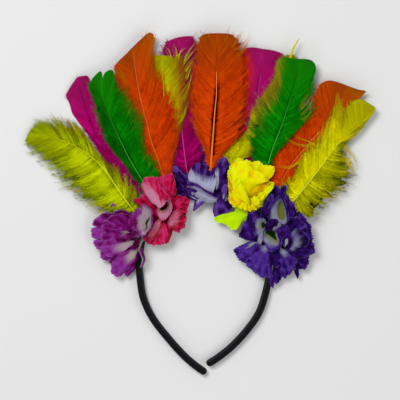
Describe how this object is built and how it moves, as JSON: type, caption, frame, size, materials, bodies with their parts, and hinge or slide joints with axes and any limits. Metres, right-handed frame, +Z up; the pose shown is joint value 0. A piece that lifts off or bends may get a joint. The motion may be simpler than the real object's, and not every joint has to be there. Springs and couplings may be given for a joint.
{
  "type": "feather headdress",
  "caption": "Hair band bent to a horseshoe, with a row of cloth flowers over the crown and dyed feathers fanned out behind them, lying on its back.",
  "frame": {"origin": "on the flat underside of the band, under the middle of its crown, at the height of the surface it lies on", "axes": "+Z up from the surface towards the viewer, +Y from the band's tips towards the feather tips, +X to the right as seen with the flowers towards the viewer"},
  "size_m": [0.287, 0.2812, 0.036],
  "materials": {
    "band_satin": "satin",
    "feather_yellow": "matte",
    "feather_magenta": "matte",
    "feather_green": "matte",
    "feather_orange": "matte",
    "petal_violet": "matte",
    "petal_pale_violet": "matte",
    "petal_red_pink": "matte",
    "petal_pale_pink": "matte",
    "petal_orchid": "matte",
    "petal_pale_orchid": "matte",
    "petal_yellow": "matte",
    "petal_lime": "matte",
    "calyx_green": "matte"
  },
  "bodies": {
    "root": {"band": "band_satin", "feather_01_yellow": "feather_yellow", "feather_02_magenta": "feather_magenta", "feather_03_green": "feather_green", "feather_04_orange": "feather_orange", "feather_05_yellow": "feather_yellow", "feather_06_magenta": "feather_magenta", "feather_07_orange": "feather_orange", "feather_08_magenta": "feather_magenta", "feather_09_yellow": "feather_yellow", "feather_10_green": "feather_green", "feather_11_orange": "feather_orange", "feather_12_yellow": "feather_yellow", "flower_1_orchid_hub": "calyx_green", "flower_1_orchid_outer": "petal_orchid", "flower_1_orchid_middle": "petal_pale_orchid", "flower_1_orchid_inner": "petal_pale_orchid", "flower_2_red_pink_hub": "calyx_green", "flower_2_red_pink_outer": "petal_red_pink", "flower_2_red_pink_middle": "petal_pale_pink", "flower_2_red_pink_inner": "petal_pale_pink", "flower_3_violet_hub": "calyx_green", "flower_3_violet_outer": "petal_violet", "flower_3_violet_middle": "petal_pale_violet", "flower_3_violet_inner": "petal_pale_violet", "flower_4_yellow_hub": "calyx_green", "flower_4_yellow_outer": "petal_yellow", "flower_4_yellow_middle": "petal_yellow", "flower_4_yellow_inner": "petal_yellow", "flower_5_violet_hub": "calyx_green", "flower_5_violet_outer": "petal_violet", "flower_5_violet_middle": "petal_pale_violet", "flower_5_violet_inner": "petal_violet", "lime_petal": "petal_lime"}
  },
  "joints": []
}
